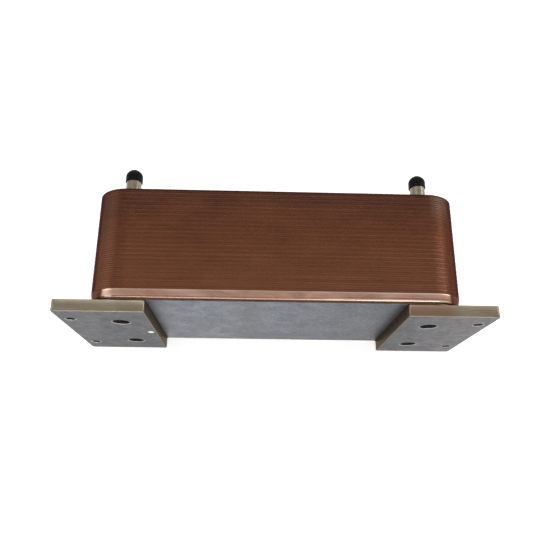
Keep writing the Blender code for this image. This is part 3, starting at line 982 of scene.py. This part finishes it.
def bore_wall():
    """Bored wall of a hole: fine turning rings, darkened with painted shade."""
    s = Surface("bore_wall", Metallic=0.5)
    rings = s.noise((40.0, 2200.0, 40.0), 2.0, 0.5, 6.0)
    dark_clouds = s.noise((90.0, 90.0, 90.0), 4.0, 0.6, 10.0)
    # Painted shade: the dark colours of the wall
    colour = s.ramp(dark_clouds, [(0.3, (0.016, 0.014, 0.013)), (0.7, (0.040, 0.034, 0.030))])
    colour = s.blend(s.spread(rings, 0.5, 0.8, 0.0, 0.35), colour, (0.085, 0.074, 0.064))
    mouth = s.spread(s.axis("Y"), FACE_Y + 0.0009, FACE_Y + 0.0006, 0.0, 0.9)
    colour = s.blend(mouth, colour, (0.36, 0.34, 0.32))
    s.bump(rings, 0.00004, 0.5)
    return s.done(colour, s.spread(dark_clouds, 0.3, 0.7, 0.32, 0.48))


def tube_steel():
    """Drawn tube: fine lines along it, a warm satin grey and a few handling marks."""
    s = Surface("tube_steel", Metallic=0.85)
    drawn = s.noise((1400.0, 26.0, 1400.0), 3.0, 0.6, 2.0)
    clouds = s.noise((60.0, 40.0, 60.0), 4.0, 0.6, 7.0)
    marks = s.noise((500.0, 160.0, 500.0), 3.0, 0.6, 13.0)
    colour = s.ramp(
        clouds,
        [(0.3, (0.225, 0.188, 0.128)), (0.55, (0.300, 0.262, 0.195)), (0.8, (0.375, 0.340, 0.275))],
    )
    colour = s.blend(s.spread(drawn, 0.45, 0.8, 0.0, 0.3), colour, (0.17, 0.145, 0.105))
    colour = s.blend(s.spread(marks, 0.66, 0.76, 0.0, 0.4), colour, (0.11, 0.09, 0.07))
    s.bump(drawn, 0.00003, 0.5)
    return s.done(colour, s.spread(clouds, 0.3, 0.7, 0.28, 0.42))


def tube_bore():
    """Inside of the tube, dull and smoky."""
    s = Surface("tube_bore", Metallic=0.7)
    dark_clouds = s.noise((110.0, 70.0, 110.0), 4.0, 0.6, 3.0)
    drawn = s.noise((1500.0, 30.0, 1500.0), 2.0, 0.5, 5.0)
    colour = s.ramp(dark_clouds, [(0.3, (0.08, 0.065, 0.05)), (0.7, (0.17, 0.145, 0.115))])
    s.bump(drawn, 0.00003, 0.5)
    return s.done(colour, s.spread(dark_clouds, 0.3, 0.7, 0.38, 0.55))


def cap_rubber():
    """Moulded rubber: near black with dust in its fine grain and scuffed patches that shine a little."""
    s = Surface("cap_rubber_black", Specular_IOR_Level=0.08)
    grain = s.noise((1800.0, 1800.0, 1800.0), 3.0, 0.6, 2.0)
    dust = s.noise((130.0, 130.0, 130.0), 5.0, 0.65, 9.0)
    scuffs = s.noise((380.0, 60.0, 380.0), 4.0, 0.6, 15.0)
    colour = s.ramp(
        dust,
        [(0.35, (0.0020, 0.0020, 0.0028)), (0.6, (0.0035, 0.0035, 0.0045)), (0.8, (0.009, 0.009, 0.010))],
    )
    colour = s.blend(s.spread(scuffs, 0.62, 0.78, 0.0, 0.35), colour, (0.020, 0.020, 0.021))
    s.bump(grain, 0.00003, 0.5)
    s.bump(dust, 0.00006, 0.2)
    return s.done(colour, s.spread(dust, 0.3, 0.7, 0.40, 0.58))


# Stage ---------------------------------------------------------------------------------------------------


def add_floor():
    """Plain pale floor, which glows a little so that it is as white as the photo's background."""
    mesh = bpy.data.meshes.new("studio_floor")
    corners = [(x * FLOOR_REACH, y * FLOOR_REACH, 0.0) for x, y in ((-1, -1), (1, -1), (1, 1), (-1, 1))]
    mesh.from_pydata(corners, [], [(0, 1, 2, 3)])
    floor = bpy.data.objects.new("studio_floor", mesh)
    bpy.context.scene.collection.objects.link(floor)
    s = Surface("studio_floor_paper", Specular_IOR_Level=0.2)
    fibre = s.noise((60.0, 60.0, 60.0), 3.0, 0.5)
    s.shader.inputs["Emission Color"].default_value = (1.0, 1.0, 1.0, 1.0)
    s.shader.inputs["Emission Strength"].default_value = FLOOR_GLOW
    paper = s.ramp(fibre, [(0.0, (0.80, 0.80, 0.80)), (1.0, (0.84, 0.84, 0.84))])
    mesh.materials.append(s.done(paper, 0.9))


def add_world():
    """A plain soft studio: pale all round, and a little darker overhead."""
    world = bpy.data.worlds.new("soft_studio")
    bpy.context.scene.world = world
    world.use_nodes = True
    tree = world.node_tree
    background = tree.nodes["Background"]
    place = tree.nodes.new("ShaderNodeTexCoord")
    split = tree.nodes.new("ShaderNodeSeparateXYZ")
    ramp = tree.nodes.new("ShaderNodeValToRGB")
    tree.links.new(place.outputs["Generated"], split.inputs[0])
    tree.links.new(split.outputs["Z"], ramp.inputs[0])
    tree.links.new(ramp.outputs["Color"], background.inputs["Color"])
    ramp.color_ramp.elements[0].position = 0.45
    ramp.color_ramp.elements[0].color = (HORIZON, HORIZON, HORIZON, 1.0)
    ramp.color_ramp.elements[1].position = 0.95
    ramp.color_ramp.elements[1].color = (ZENITH, ZENITH, ZENITH, 1.0)


def add_softbox(name, place, size, watts):
    light = bpy.data.lights.new(name, "AREA")
    light.shape = "RECTANGLE"
    light.size, light.size_y = size
    light.energy = watts
    softbox = bpy.data.objects.new(name, light)
    bpy.context.scene.collection.objects.link(softbox)
    softbox.location = place
    softbox.rotation_euler = (Vector(AIM) - Vector(place)).to_track_quat("-Z", "Y").to_euler()


def add_camera():
    """The photo's view, from a fit to its corners, edges and hole centres."""
    lens = bpy.data.cameras.new("camera")
    lens.sensor_width = 36.0
    lens.lens = FOCAL_LENGTH
    lens.clip_start = 0.01
    camera = bpy.data.objects.new("camera", lens)
    bpy.context.scene.collection.objects.link(camera)
    camera.location = CAMERA_PLACE
    camera.rotation_euler = [math.radians(angle) for angle in CAMERA_TURN]
    bpy.context.scene.camera = camera


def build_pieces():
    copper, first, braze, seam = pack_copper(), bright_copper(), braze_copper(), seam_copper()
    for number in range(1, len(PLATES) + 1):
        pressed_plate(number, [first if number == 1 else copper])
    braze_seams([seam])
    steel, steel_edge = cover_steel(), cover_edge()
    front_low, front_high = height_of("flange_side_cover")
    front_wall = [(PORT_RADIUS, front_low), (PORT_RADIUS, front_high)]
    ports = []
    for side in SIDES.values():
        ports += [((side * PORT_X, row * PORT_Y), PORT_STEPS, front_wall) for row in ROWS.values()]
    cover("flange_side_cover", "cover_flange_side", ports, [steel, steel_edge])
    back_low, back_high = height_of("stub_side_cover")
    seat = bored(SEAT_RADIUS, back_high - back_low, back_low, SEAT_CHAMFER)
    seats = [((side * PORT_X, -PORT_Y), TURNED_STEPS, seat) for side in SIDES.values()]
    cover("stub_side_cover", "cover_stub_side", seats, [steel, steel_edge])
    edge, wall = flange_edge(), bore_wall()
    tube, inside, rubber = tube_steel(), tube_bore(), cap_rubber()
    for side in SIDES:
        flange(side, [flange_face(side == "left"), edge, wall])
        stub(side, [tube, inside])
        stub_braze(side, [braze])
        cap(side, [rubber])


build_pieces()
add_floor()
add_world()
for softbox in SOFTBOXES:
    add_softbox(*softbox)
add_camera()
bpy.context.scene.view_settings.view_transform = "Standard"
